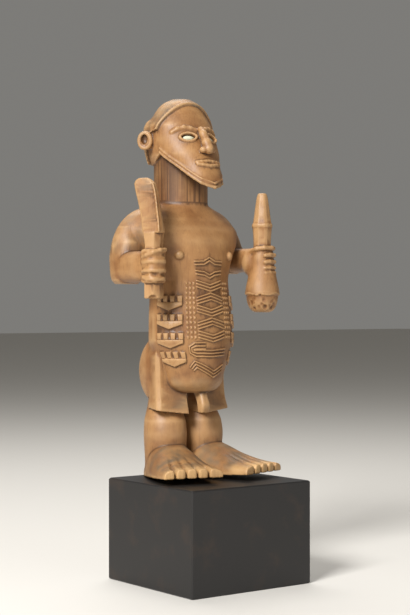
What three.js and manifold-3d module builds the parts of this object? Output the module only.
// Standing Bembe figure on a black block: a male figure carved from one piece of wood, with a knife in its
// right hand, a flask in its left hand, raised marks on the belly and inlaid eyes.
// Millimetres, +Z up, the figure looks towards -Y and its right hand is at -X. The origin is the middle of the
// block's underside.
import * as THREE from "three";
import { mergeVertices } from "three/addons/utils/BufferGeometryUtils.js";
import Module from "manifold-3d";

const wasm = await Module();
wasm.setup();

// Driving dimensions. Heights of the figure are measured from its heels.
const PLINTH = { width: 69, depth: 67, height: 48, bevel: 0.6 };
const CLEARANCE = 0.3; // gap between pieces that touch
const HEEL_LEVEL = PLINTH.height + CLEARANCE;
const TOE_LIFT = 2.7; // height of the soles' front edge above the heels
const TOE_OUT = 16; // degrees that each leg turns outwards
const FACE_TILT = 21; // degrees that the face leans back

const NECK = { y: 22.3, radius: 13, bottom: 118, top: 160 };
const LEG = { x: 10.6, y: 20.3 };
const THIGH = { x: 11, y: 16.5 };
// The hand with the knife and the hand with the flask: middle of each fist
const KNIFE_HAND = { side: -1, x: -31.2, y: 0.4, height: 99.3, reach: 7.9 };
const FLASK_HAND = { side: 1, x: 31, y: -1.9, height: 103.4, reach: 6.4 };

// Torso sections: height, front, back, half width
const TORSO = [
  [40.2, 4.4, 24, 8],
  [41.6, 1.4, 26, 11.6],
  [44.4, -0.7, 28, 14.2],
  [50, -2.2, 31, 16],
  [57, -3, 32, 18.4],
  [65.7, -3.4, 32, 21.2],
  [74.7, -2.6, 31.5, 21.2],
  [83.7, -1.6, 31.5, 20.6],
  [92.7, -0.8, 32, 20],
  [98.7, -0.6, 33.5, 21.5],
  [104.7, -0.3, 35, 24],
  [110.7, 0.6, 36, 27.5],
  [116.7, 2.8, 36.5, 29.5],
  [121.7, 5.6, 36.5, 26.5],
  [125.6, 8, 36, 21],
  [129.6, 9.7, 35, 13.2],
];

// Shoulder sections: height, half width, half depth about the line between the shoulders
const SHOULDER_Y = 24.7;
const SHOULDERS = [
  [103.5, 36.8, 6.5],
  [108.7, 37.5, 9.4],
  [112.7, 36.7, 10.6],
  [116.4, 35.1, 11.2],
  [120.2, 32.6, 11.4],
  [124, 28.6, 11.4],
  [126.4, 24.6, 11.2],
  [128.6, 18.5, 11],
  [130, 13.5, 10.6],
];

// Head sections: height, front, back, half width, squareness. The skull steps in above the nape's roll
const HEAD = [
  [136.1, -5.2, 9, 5.6, 3.2],
  [141.7, -3.6, 22, 9.4, 2.7],
  [147.7, -1, 36, 12.6, 2.4],
  [153.7, 2, 38, 15.3, 2.3],
  [160.7, 5.6, 39.6, 16, 2.2],
  [166.7, 8.6, 39.4, 15.7, 2.1],
  [170.7, 10.7, 36.2, 14, 2.1],
  [172.7, 11.7, 33, 12.9, 2],
  [176, 13.4, 31.4, 10.6, 2],
  [178.6, 15.4, 29.4, 7.8, 2],
  [180.6, 19, 26, 3.6, 2],
];
const HAIR_STEP = 1;
// The hair ends on a plane through this point at the temple, which leans back as it goes down
const HAIRLINE = { y: 20.3, height: 162.5, lean: 0.43, napeHeight: 149.2, backY: 26 };
// The jaw's lower edge, from below the ear to the beard's tip
const JAW = { earX: 15.2, earY: 18, earHeight: 153.7, tipX: 5.4, tipY: -5.2, tipHeight: 136.2 };

// A smooth curve through a table of rows that start with their height
function smooth(table) {
  const width = table[0].length - 1;
  const curve = new THREE.CubicInterpolant(
    Float32Array.from(table, (row) => row[0]),
    Float32Array.from(table.flatMap((row) => row.slice(1))),
    width,
  );
  return (height) => Array.from(curve.evaluate(height));
}

// One ring of a superellipse in the plane z = height. The front and the back may differ in depth
function ring(x, y, height, halfWidth, front, back, sides, squareness = 2) {
  const points = [];
  for (let i = 0; i < sides; i += 1) {
    const angle = (2 * Math.PI * i) / sides;
    const side = Math.sin(angle);
    const ahead = -Math.cos(angle);
    const reach = (Math.abs(side) ** squareness + Math.abs(ahead) ** squareness) ** (-1 / squareness);
    const depth = ahead < 0 ? front : back;
    points.push(new THREE.Vector3(x + halfWidth * side * reach, y + depth * ahead * reach, height));
  }
  return points;
}

// A closed body from rings with the same number of points
function loft(rings) {
  const sides = rings[0].length;
  const positions = rings.flat().flatMap((p) => [p.x, p.y, p.z]);
  const index = [];
  for (let r = 0; r < rings.length - 1; r += 1) {
    for (let i = 0; i < sides; i += 1) {
      const a = r * sides + i;
      const b = r * sides + ((i + 1) % sides);
      index.push(a, b, b + sides, a, b + sides, a + sides);
    }
  }
  for (const end of [0, rings.length - 1]) {
    const middle = rings[end].reduce((sum, p) => sum.add(p), new THREE.Vector3()).divideScalar(sides);
    const centre = positions.length / 3;
    positions.push(middle.x, middle.y, middle.z);
    for (let i = 0; i < sides; i += 1) {
      const a = end * sides + i;
      const b = end * sides + ((i + 1) % sides);
      index.push(...(end === 0 ? [centre, b, a] : [centre, a, b]));
    }
  }
  const geometry = new THREE.BufferGeometry();
  geometry.setAttribute("position", new THREE.Float32BufferAttribute(positions, 3));
  geometry.setIndex(index);
  return geometry;
}

// A closed geometry as a solid, turned the right way out
function solid(geometry) {
  const bare = new THREE.BufferGeometry();
  bare.setAttribute("position", geometry.getAttribute("position"));
  bare.setIndex(geometry.index);
  const merged = mergeVertices(bare, 1e-4);
  const triVerts = Uint32Array.from(merged.index.array);
  const vertProperties = merged.getAttribute("position").array;
  const made = new wasm.Manifold(new wasm.Mesh({ numProp: 3, vertProperties, triVerts }));
  if (made.volume() > 0) return made;
  const turned = triVerts.map((_, i) => triVerts[i - (i % 3) + ((3 - (i % 3)) % 3)]);
  return new wasm.Manifold(new wasm.Mesh({ numProp: 3, vertProperties, triVerts: turned }));
}

function geometryOf(made) {
  const mesh = made.getMesh();
  const positions = [];
  for (let i = 0; i < mesh.numVert; i += 1) {
    for (let axis = 0; axis < 3; axis += 1) positions.push(mesh.vertProperties[i * mesh.numProp + axis]);
  }
  const indexed = new THREE.BufferGeometry();
  indexed.setAttribute("position", new THREE.Float32BufferAttribute(positions, 3));
  indexed.setIndex(Array.from(mesh.triVerts));
  const flat = indexed.toNonIndexed();
  flat.computeVertexNormals();
  return flat;
}

function joined(solids) {
  return solids.reduce((sum, next) => sum.add(next));
}

// The geometry moved by a rotation (degrees about x, y, z) and then a shift
function placed(geometry, [x, y, z], [rx, ry, rz] = [0, 0, 0]) {
  const turn = new THREE.Euler(
    THREE.MathUtils.degToRad(rx),
    THREE.MathUtils.degToRad(ry),
    THREE.MathUtils.degToRad(rz),
  );
  const matrix = new THREE.Matrix4().makeRotationFromEuler(turn).setPosition(x, y, z);
  return geometry.clone().applyMatrix4(matrix);
}

function block(width, depth, height) {
  return new THREE.BoxGeometry(width, depth, height);
}

// An outline [u, v] pushed along its normal by a thickness, centred on it
function plate(outline, thickness, bevel = 0) {
  const shape = new THREE.Shape(outline.map(([u, v]) => new THREE.Vector2(u, v)));
  const geometry = new THREE.ExtrudeGeometry(shape, {
    depth: thickness - 2 * bevel,
    bevelEnabled: bevel > 0,
    bevelThickness: bevel,
    bevelSize: bevel,
    bevelOffset: -bevel,
    bevelSegments: 1,
  });
  return geometry.translate(0, 0, bevel - thickness / 2);
}

function mirrored(made) {
  return made.mirror([1, 0, 0]);
}

// A body given by a table of sections: height, front, back, half width and squareness
function skin(table) {
  const at = smooth(table);
  const point = (bearing, height, grow = 0) => {
    const [front, back, halfWidth, squareness = 2] = at(height);
    const angle = THREE.MathUtils.degToRad(bearing);
    const side = Math.sin(angle);
    const ahead = -Math.cos(angle);
    const reach = (Math.abs(side) ** squareness + Math.abs(ahead) ** squareness) ** (-1 / squareness);
    const half = (back - front) / 2;
    return new THREE.Vector3(
      (halfWidth + grow) * side * reach,
      (front + back) / 2 + (half + grow) * ahead * reach,
      height,
    );
  };
  const normal = (bearing, height) => {
    const across = point(bearing + 1, height).sub(point(bearing - 1, height));
    const up = point(bearing, height + 0.5).sub(point(bearing, height - 0.5));
    return across.cross(up).normalize();
  };
  const body = (sides, grow = 0) => {
    const rings = table.map(([height]) =>
      Array.from({ length: sides }, (_, i) => point((360 * i) / sides, height, grow)));
    return solid(loft(rings));
  };
  return { point, normal, body };
}

const belly = skin(TORSO);
const skull = skin(HEAD);

function shoulders() {
  const rings = SHOULDERS.map(([height, halfWidth, halfDepth]) =>
    ring(0, SHOULDER_Y, height, halfWidth, halfDepth, halfDepth, 20, 2.1));
  return solid(loft(rings));
}

const BUTTOCK = { x: 9.2, y: 24.9, height: 50.5, half: [11, 11.2, 17] };
function buttocks() {
  const { x, y, height, half } = BUTTOCK;
  const cheek = solid(placed(new THREE.SphereGeometry(1, 11, 7).scale(...half), [-x, y, height]));
  return cheek.add(mirrored(cheek));
}

// A section across a leg, in directions outwards and forwards from the leg's middle, turned out with the foot
function legRing(section, centre, height, side) {
  const turn = THREE.MathUtils.degToRad(TOE_OUT);
  return section.map(([outward, forward, drop = 0]) => {
    const x = outward * Math.cos(turn) + forward * Math.sin(turn);
    const y = outward * Math.sin(turn) - forward * Math.cos(turn);
    return new THREE.Vector3(side * (centre.x + x), centre.y + y, height + drop);
  });
}

// The thigh is cut in flat planes that flare down to a hem, which drops towards the inside
function thigh(side) {
  const hem = [
    [-7.9, 5.6, -2.2],
    [7, 7.9, -0.2],
    [8.9, 6.2, 0],
    [9.6, -3, 0.6],
    [7.6, -8.4, 1],
    [2, -10.4, 0.6],
    [-4, -10, 0],
    [-7.9, -6, -1],
  ];
  const rows = [
    [31.6, 1, 1],
    [38, 0.94, 0.8],
    [46, 0.94, 0.7],
    [56, 0.96, 0.7],
    [64, 0.8, 0.6],
  ];
  return solid(loft(rows.map(([height, wide, deep]) => {
    const section = hem.map(([outward, forward, drop]) => [
      outward * wide,
      forward > 0 ? forward * deep : forward,
      drop,
    ]);
    return legRing(section, THIGH, height, side);
  })));
}

function calf(side) {
  const rows = [
    [0.6, 9.5, 9.3, 0.2],
    [9, 9.7, 9.6, 0],
    [20, 10.1, 10.7, 0],
    [27, 9.9, 10.3, 0.4],
    [33, 8.6, 8.4, 1.8],
  ];
  const sides = 14;
  const rings = rows.map(([height, across, along, back]) => {
    const section = Array.from({ length: sides }, (_, i) => {
      const angle = (2 * Math.PI * i) / sides;
      return [across * Math.sin(angle), along * Math.cos(angle) - back];
    });
    return legRing(section, LEG, height, side);
  });
  return solid(loft(rings));
}

// Foot sections: distance ahead of the leg's middle, half width, top, squareness
const FOOT = [
  [-10.4, 5.5, 7, 2.2],
  [-7.5, 8.8, 10, 2.2],
  [-1, 10.6, 14, 2.2],
  [5, 11.9, 17, 2.2],
  [12, 13, 15.2, 2.2],
  [21, 13.9, 11.2, 2.4],
  [30.5, 14.4, 8.2, 3],
  [38.4, 14.2, 6.9, 4],
];
const TOES = { count: 5, slot: 1, slotLength: 9, skew: 0.9, inwards: 0.5 };
const FOOT_SEGMENTS = 8;

function soleAt(ahead) {
  return THREE.MathUtils.clamp(((ahead + 6) / 42) * TOE_LIFT, 0, TOE_LIFT);
}

function foot(side) {
  const place = (o, f, z) => legRing([[o - TOES.inwards, f]], LEG, z, side)[0];
  const rings = FOOT.map(([ahead, half, top, squareness]) => {
    const sole = soleAt(ahead);
    const points = [];
    for (let i = 0; i <= FOOT_SEGMENTS; i += 1) {
      const angle = (Math.PI * i) / FOOT_SEGMENTS;
      const c = Math.cos(angle);
      const s = Math.sin(angle);
      const reach = (Math.abs(c) ** squareness + s ** squareness) ** (-1 / squareness);
      const outer = (1 + c * reach) / 2;
      points.push(place(half * c * reach, ahead - TOES.skew * outer, sole + (top - sole) * s * reach));
    }
    points.push(place(-half * 0.3, ahead, sole), place(half * 0.3, ahead, sole));
    return points;
  });
  const [tip, half] = FOOT[FOOT.length - 1];
  const slots = Array.from({ length: TOES.count - 1 }, (_, i) => {
    const o = -half + (2 * half * (i + 1.25)) / (TOES.count + 0.25);
    const at = place(o, tip + 1 - TOES.slotLength / 2, 5);
    return solid(placed(block(TOES.slot, TOES.slotLength, 9), at.toArray(), [0, 0, side * TOE_OUT]));
  });
  return slots.reduce((made, slot) => made.subtract(slot), solid(loft(rings)));
}

// A solid from sections along y: distance along y, x, height, half width, half height
function limbAlongY(rows, sides, squareness) {
  const rings = rows.map(([y, x, height, halfWidth, halfHeight]) =>
    ring(0, 0, 0, halfWidth, halfHeight, halfHeight, sides, squareness).map(
      (p) => new THREE.Vector3(x + p.x, y, height + p.y),
    ),
  );
  return solid(loft(rings));
}

function arm({ side, x, y, height, reach }) {
  const low = height - reach;
  const upper = [
    [low + 0.6, 5, 5.4],
    [low + 2.2, 6.8, 7.2],
    [low + 6, 7.4, 8],
    [low + 12, 7.6, 8.4],
    [109, 6.8, 8.2],
    [114, 5.4, 6.6],
    [118, 3.4, 4.2],
  ].map(([level, across, along]) => ring(side * 30, 24.6, level, across, along, along, 12, 2.2));
  const forearm = limbAlongY(
    [
      [28.5, side * 30.2, height, 5, reach - 1.6],
      [24, side * 30.4, height, 6.8, reach - 0.5],
      [12, side * 30.8, height + 0.2, 6.2, reach - 0.8],
      [y + 3, x, height + 0.2, 4.6, reach - 1],
    ],
    12,
    2.4,
  );
  return solid(loft(upper)).add(forearm);
}

// A hand closed round an upright rod: a palm, stacked fingers round the front and a thumb over the top
function hand({ side, x, y, height, reach }) {
  const round = (dy, level, half, front, sides) => ring(x, y + dy, level, half, front, half, sides, 2.5);
  const palm = solid(loft([-reach, 1.6 - reach, reach - 1.6, reach].map((rise) =>
    round(0.9, height + rise, Math.abs(rise) === reach ? 4.1 : 4.8, 4.6, 10))));
  const step = (2 * reach) / 4;
  const fingers = [0.5, 1.5, 2.5].map((place) => {
    const middle = height - reach + place * step;
    return solid(loft([-0.46, 0, 0.46].map((share) =>
      round(-0.3, middle + share * step, share === 0 ? 5.3 : 4.7, share === 0 ? 5.5 : 4.8, 8))));
  });
  const thumbPlace = [x - side * 0.2, y - 2.8, height + reach - 1.4];
  const thumb = placed(block(8.8, 4.6, 2.4), thumbPlace, [0, side * 14, 0]);
  return joined([palm, ...fingers, solid(thumb)]);
}

// The knife: a round handle through the hand and a blade that widens towards its round end
const BLADE_TURN = 28; // degrees from straight ahead
function knife() {
  const { x, y } = KNIFE_HAND;
  const grip = [
    [84.4, 3.7],
    [96, 3.6],
    [115.6, 3.4],
  ].map(([height, radius]) => ring(x, y, height, radius, radius, radius, 10, 2.5));
  const turn = THREE.MathUtils.degToRad(BLADE_TURN);
  const blade = [
    [115.1, 3.1, 4.9, 0],
    [121, 2.6, 4.9, 1.3],
    [128, 2.2, 5.1, 3.3],
    [134, 1.9, 5.5, 5.4],
    [137.4, 1.6, 5.2, 6.9],
    [139.4, 1.2, 3.6, 7.9],
    [140.2, 0.8, 1.6, 8.3],
  ].map(([height, thick, wide, lean]) => [
    [-wide, -thick * 0.75],
    [wide * 0.55, -thick],
    [wide, -thick * 0.2],
    [wide, thick * 0.2],
    [wide * 0.55, thick],
    [-wide, thick * 0.75],
  ].map(([along, across]) => new THREE.Vector3(
    x + along * Math.sin(turn) + across * Math.cos(turn) - lean * 0.2,
    y - along * Math.cos(turn) + across * Math.sin(turn) + lean * 0.7,
    height,
  )));
  return solid(loft(grip)).add(solid(loft(blade)));
}

// The flask: turned outline with flat facets, a ridge on its neck and a rim low on its body
function flask() {
  const profile = [
    [0, 78.2],
    [3.6, 78.5],
    [6.4, 81],
    [8.2, 87.6],
    [6.5, 97],
    [4.5, 107],
    [4.3, 110.5],
    [4.9, 119],
    [5.15, 120],
    [4.8, 121],
    [2.3, 135.2],
    [0, 135.5],
  ].map(([radius, height]) => new THREE.Vector2(radius, height));
  const turned = new THREE.LatheGeometry(profile, 10).rotateX(Math.PI / 2);
  return solid(placed(turned, [FLASK_HAND.x, FLASK_HAND.y, 0]));
}

// A prism across the whole head from a side outline [y, height]
function sidePrism(outline) {
  const shape = new THREE.Shape(outline.map(([y, z]) => new THREE.Vector2(y, z)));
  const geometry = new THREE.ExtrudeGeometry(shape, { depth: 80, bevelEnabled: false });
  const matrix = new THREE.Matrix4().makeBasis(
    new THREE.Vector3(0, 1, 0),
    new THREE.Vector3(0, 0, 1),
    new THREE.Vector3(1, 0, 0),
  );
  return solid(geometry.translate(0, 0, -40).applyMatrix4(matrix));
}

function head() {
  const slope = (JAW.earHeight - JAW.tipHeight) / (JAW.earY - JAW.tipY);
  const under = sidePrism([
    [JAW.tipY - 12, JAW.tipHeight - 12 * slope],
    [JAW.earY, JAW.earHeight],
    [HAIRLINE.backY, HAIRLINE.napeHeight],
    [60, HAIRLINE.napeHeight],
    [60, 110],
    [JAW.tipY - 12, 110],
  ]);
  return skull.body(18).subtract(under);
}

function hair() {
  const { y, height, lean, napeHeight, backY } = HAIRLINE;
  const behind = sidePrism([
    [y - lean * (200 - height), 200],
    [y, height],
    [backY - 3, height + 2],
    [backY + 3, height - 3],
    [backY + 6, napeHeight + 0.4],
    [60, napeHeight + 0.4],
    [60, 200],
  ]);
  return skull.body(18, HAIR_STEP).intersect(behind);
}

function neck() {
  const { y, radius, bottom, top } = NECK;
  const rings = [bottom, (bottom + top) / 2, top].map((height) =>
    ring(0, y, height, radius, radius, radius, 20));
  return solid(loft(rings));
}

// The raised rim along the jaw's lower edge, on both sides and across the tip
function beardRim() {
  const side = new THREE.Vector3(-JAW.earX, JAW.earY, JAW.earHeight);
  const tip = new THREE.Vector3(-JAW.tipX, JAW.tipY + 0.4, JAW.tipHeight + 0.5);
  const direction = tip.clone().sub(side);
  const length = direction.length();
  const middle = side.clone().add(tip).multiplyScalar(0.5);
  const matrix = new THREE.Matrix4().lookAt(side, tip, new THREE.Vector3(0, 0, 1)).setPosition(middle);
  const bar = solid(block(1.8, 1.5, length + 1).applyMatrix4(matrix));
  const end = solid(placed(block(2 * JAW.tipX + 1.4, 1.6, 1.8), [0, JAW.tipY + 0.5, JAW.tipHeight + 0.8]));
  return joined([bar, mirrored(bar), end]);
}

// A face of plain proportions: thirds from the hairline to the chin, the eyes half way up the head
const FACE = { chinY: -4.2, chinHeight: 140, length: 42.2 };
const EYE = { rise: 22.6, x: 6.6, reach: 16, slope: 4 };
const INLAY = { width: 6.6, height: 2.9, thick: 1.2, sunk: 0.5, sides: 12 };

// A point at a height above the chin along the face, with its distance outwards from the face's plane
function facePoint(rise, x = 0, out = 0) {
  const tilt = THREE.MathUtils.degToRad(FACE_TILT);
  return new THREE.Vector3(
    x,
    FACE.chinY + rise * Math.sin(tilt) - out * Math.cos(tilt),
    FACE.chinHeight + rise * Math.cos(tilt) + out * Math.sin(tilt),
  );
}

// The almond of one eye, set square to the face's surface, as a plate that grows by a clearance
function eye(side, grow) {
  const outline = Array.from({ length: INLAY.sides }, (_, i) => {
    const angle = (2 * Math.PI * i) / INLAY.sides;
    const lid = Math.sin(angle) * Math.abs(Math.sin(angle)) ** 0.35;
    return [(INLAY.width / 2 + grow) * Math.cos(angle), (INLAY.height / 2 + grow) * lid];
  });
  const height = facePoint(EYE.rise).z;
  const bearing = side * THREE.MathUtils.radToDeg(Math.asin(EYE.x / EYE.reach));
  const out = skull.normal(bearing, height);
  const along = new THREE.Vector3(0, 0, 1).cross(out).normalize()
    .applyAxisAngle(out, THREE.MathUtils.degToRad(-side * EYE.slope));
  const up = out.clone().cross(along);
  const centre = skull.point(bearing, height).addScaledVector(out, -INLAY.sunk - INLAY.thick / 2);
  const matrix = new THREE.Matrix4().makeBasis(along, up, out).setPosition(centre);
  return solid(plate(outline, INLAY.thick + 2 * grow).applyMatrix4(matrix));
}

// The carved hollow that an eye sits in: a shallow almond, a little wider than the inlay
function socket(side) {
  return eye(side, CLEARANCE).add(solid(geometryOf(eye(side, CLEARANCE)).translate(0, -1.4, 0.5)));
}

function features() {
  const third = FACE.length / 3;
  const nose = solid(loft([
    [third - 0.6, 3.7, 3.2],
    [third + 2.2, 3.4, 3.6],
    [third + 8, 2, 2.1],
    [2 * third - 1, 1.5, 0.4],
  ].map(([rise, half, out]) => [
    [-half, -3],
    [-half, out * 0.3],
    [-half * 0.45, out],
    [half * 0.45, out],
    [half, out * 0.3],
    [half, -3],
  ].map(([x, o]) => facePoint(rise, x, o)))));
  const mouthHeight = facePoint(0.62 * third).z;
  const lip = (shift, rise) => strip(skull, [
    [-27, mouthHeight + shift * 0.4],
    [-12, mouthHeight + shift],
    [12, mouthHeight + shift],
    [27, mouthHeight + shift * 0.4],
  ], 1.6, rise);
  const browHeight = facePoint(2 * third - 1.4).z;
  const brow = strip(skull, [[7, browHeight - 0.4], [24, browHeight + 0.4], [44, browHeight - 1.6]], 1.6, 0.7);
  return joined([nose, lip(1.2, 1), lip(-1.2, 1), brow, mirrored(brow)]);
}

// An ear: a raised ring round a hollow, standing out from the head and turned towards the front
const EAR = { x: 18.3, y: 25.8, height: 160.1, turn: -52, half: [3.7, 4.5], hollow: [1.9, 2.5] };
const EAR_DEPTH = { rim: 2, floor: 1 };
function ear() {
  const [halfWidth, halfHeight] = EAR.half;
  const oval = (Kind, x, y, width, height) => new Kind().absellipse(x, y, width, height, 0, 2 * Math.PI);
  const outline = oval(THREE.Shape, 0, 0, halfWidth, halfHeight);
  outline.holes.push(oval(THREE.Path, 0.2, 0.6, ...EAR.hollow));
  const disc = oval(THREE.Shape, 0, 0, halfWidth - 0.5, halfHeight - 0.5);
  const layers = [[outline, EAR_DEPTH.rim], [disc, EAR_DEPTH.floor]].map(([shape, depth]) => {
    const geometry = new THREE.ExtrudeGeometry(shape, { depth, bevelEnabled: false, curveSegments: 5 });
    return solid(placed(geometry, [-EAR.x, EAR.y, EAR.height], [90, 0, EAR.turn]));
  });
  const root = solid(placed(block(7, 4, 7), [-EAR.x + 2.3, EAR.y - 0.4, EAR.height - 0.2]));
  return joined([...layers, root]);
}

// The penis, cut in flat facets
function peg() {
  const rings = [
    [42.5, 1.9, 8, 3.4],
    [38, 2.2, 5.4, 2.8],
    [33.8, 2.5, 3.6, 2.3],
    [30.8, 2.1, 4.2, 1.9],
  ].map(([height, half, y, deep]) => [
    new THREE.Vector3(-half, y - deep * 0.7, height),
    new THREE.Vector3(-half * 0.6, y - deep, height),
    new THREE.Vector3(half * 0.6, y - deep, height),
    new THREE.Vector3(half, y - deep * 0.7, height),
    new THREE.Vector3(half, y + deep, height),
    new THREE.Vector3(-half, y + deep, height),
  ]);
  return solid(loft(rings));
}

const NIPPLE = { x: 14.6, y: 3, height: 105, turn: 30 };
function nipples() {
  const cone = new THREE.CylinderGeometry(0.7, 2, 2.4, 6).rotateX(Math.PI / 2);
  const one = solid(placed(cone, [-NIPPLE.x, NIPPLE.y, NIPPLE.height], [0, 0, NIPPLE.turn]));
  return one.add(mirrored(one));
}

// A raised strip on a skin through points [bearing, height]
function strip(surface, points, width, rise) {
  const rings = points.map(([bearing, height], i) => {
    const at = surface.point(bearing, height);
    const out = surface.normal(bearing, height);
    const before = surface.point(...points[Math.max(i - 1, 0)]);
    const after = surface.point(...points[Math.min(i + 1, points.length - 1)]);
    const across = after.sub(before).normalize().cross(out).normalize();
    return [[-0.5, -1], [0.5, -1], [0.32, rise], [-0.32, rise]].map(([sideways, up]) => at.clone()
      .addScaledVector(across, sideways * width)
      .addScaledVector(out, up));
  });
  return solid(loft(rings));
}

// The middle column of the belly: chevrons that point up and down by turns
const CHEVRONS = { bottom: 66.8, pitch: 6.15, count: 7, half: 20, lines: 2, lineStep: 1.8, peak: 2 };
function chevrons() {
  const made = [];
  for (let i = 0; i < CHEVRONS.count; i += 1) {
    const turn = i % 2 === 0 ? -1 : 1;
    for (let line = 0; line < CHEVRONS.lines; line += 1) {
      const height = CHEVRONS.bottom + i * CHEVRONS.pitch + (line - 0.5) * CHEVRONS.lineStep;
      const foot = height - (turn * CHEVRONS.peak) / 2;
      made.push(strip(belly, [
        [-CHEVRONS.half, foot],
        [0, height + (turn * CHEVRONS.peak) / 2],
        [CHEVRONS.half, foot],
      ], 1, 0.85));
    }
  }
  return made;
}

// A raised slab on a skin, from columns [bearing, low edge, high edge]
function slab(surface, columns, rise) {
  const layer = (out) => columns.flatMap(([bearing, low, high]) => [low, high].map((height) =>
    surface.point(bearing, height).addScaledVector(surface.normal(bearing, height), out)));
  const points = [...layer(rise), ...layer(-1.2)];
  const back = 2 * columns.length;
  const index = [];
  const quad = (a, b, c, d) => index.push(a, b, c, a, c, d);
  for (let i = 0; i < back - 2; i += 2) {
    quad(i, i + 2, i + 3, i + 1);
    quad(back + i, back + i + 1, back + i + 3, back + i + 2);
    quad(i, back + i, back + i + 2, i + 2);
    quad(i + 1, i + 3, back + i + 3, back + i + 1);
  }
  quad(0, 1, back + 1, back);
  quad(back - 2, 2 * back - 2, 2 * back - 1, back - 1);
  const geometry = new THREE.BufferGeometry();
  geometry.setAttribute("position", new THREE.Float32BufferAttribute(points.flatMap((p) => p.toArray()), 3));
  geometry.setIndex(index);
  return solid(geometry);
}

// The flank blocks: a band that is pointed below. On the right flank four teeth above it leave three notches
const FLANK = { from: 39, to: 80, bottom: 52.6, pitch: 8.75, count: 4 };
const FLANK_BLOCK = { height: 7.4, point: 2.4, band: 1.7, teeth: 4, gap: 2.2 };
function flankBlocks() {
  const middle = (FLANK.from + FLANK.to) / 2;
  const { height, point, teeth, gap } = FLANK_BLOCK;
  const share = (FLANK.to - FLANK.from) / (teeth * gap - gap + 1);
  const made = [];
  for (let i = 0; i < FLANK.count; i += 1) {
    const low = FLANK.bottom + i * FLANK.pitch;
    const ends = low + point;
    const root = ends + FLANK_BLOCK.band;
    const band = (side, top) => [[FLANK.from, ends], [middle, low], [FLANK.to, ends]]
      .map(([bearing, edge]) => [side * bearing, edge, top]);
    made.push(slab(belly, band(-1, root), 0.9), slab(belly, band(1, low + height), 0.8));
    for (let tooth = 0; tooth < teeth; tooth += 1) {
      const start = FLANK.from + tooth * share * gap + 0.2;
      const columns = [start, start + share].map((bearing) => [-bearing, root - 0.4, low + height]);
      made.push(slab(belly, columns, 0.8));
    }
  }
  return made;
}

// Rows of small raised studs between the chevrons and the flank blocks, drawn as short bars
const STUDS = { from: 24, to: 36, bottom: 66, top: 92.5, rows: 7 };
function studRows(side) {
  return Array.from({ length: STUDS.rows }, (_, i) => {
    const height = STUDS.bottom + ((STUDS.top - STUDS.bottom) * i) / (STUDS.rows - 1);
    return strip(belly, [[side * STUDS.from, height], [side * STUDS.to, height]], 1.9, 0.6);
  });
}

// The two bands of nested loops under the chevrons
function loops() {
  const made = [];
  for (let line = 0; line < 2; line += 1) {
    const inset = line * 2.2;
    made.push(strip(belly, [
      [22, 56.4 + inset],
      [0, 56 + inset],
      [-28 + inset, 57 + inset],
      [-36 + 2 * inset, 60],
      [-28 + inset, 63.4 - inset],
      [-14, 63 - inset],
    ], 1, 0.6));
    made.push(strip(belly, [
      [24, 52.4 - inset],
      [4, 49.8 - inset],
      [-18, 53 - inset],
      [-29 + inset, 54.6 - inset],
      [-37 + 2 * inset, 51.6],
    ], 1, 0.6));
  }
  return made;
}

function figureSolid() {
  const rightEar = ear();
  const limbs = [-1, 1].flatMap((side) => [thigh(side), calf(side), foot(side)]);
  const arms = [KNIFE_HAND, FLASK_HAND].flatMap((place) => [arm(place), hand(place)]);
  const body = joined([
    belly.body(22),
    shoulders(),
    buttocks(),
    neck(),
    head(),
    hair(),
    beardRim(),
    features(),
    rightEar,
    mirrored(rightEar),
    ...arms,
    knife(),
    flask(),
    ...limbs,
    peg(),
    nipples(),
  ]);
  const marks = [...chevrons(), ...flankBlocks(), ...studRows(-1), ...studRows(1), ...loops()];
  return joined([body, ...marks]).subtract(socket(-1)).subtract(socket(1));
}

function plinthGeometry() {
  const { width, depth, height, bevel } = PLINTH;
  const outline = (inset, z) => [
    [-1, -1],
    [1, -1],
    [1, 1],
    [-1, 1],
  ].flatMap(([sx, sy], i) => {
    const x = sx * (width / 2 - inset);
    const y = sy * (depth / 2 - inset);
    const first = [x - sx * bevel, y];
    const second = [x, y - sy * bevel];
    return (i % 2 === 0 ? [second, first] : [first, second]).map(([px, py]) => new THREE.Vector3(px, py, z));
  });
  return geometryOf(solid(loft([
    outline(bevel, 0),
    outline(0, bevel),
    outline(0, height - bevel),
    outline(bevel, height),
  ])));
}

const wood = { color: 0xa87648, roughness: 0.6, metalness: 0 };
const inlay = { color: 0xcfcfb4, roughness: 0.35, metalness: 0 };
const blackWood = { color: 0x1d1b1a, roughness: 0.55, metalness: 0 };

function mesh(name, geometry, finish) {
  const made = new THREE.Mesh(geometry, new THREE.MeshStandardMaterial(finish));
  made.name = name;
  return made;
}

const carving = new THREE.Group();
carving.position.z = HEEL_LEVEL;
carving.add(
  mesh("figure", geometryOf(figureSolid()), wood),
  mesh("eye_inlay_right", geometryOf(eye(-1, 0)), inlay),
  mesh("eye_inlay_left", geometryOf(eye(1, 0)), inlay),
);

const part = new THREE.Group();
part.add(carving, mesh("plinth", plinthGeometry(), blackWood));

export default part;
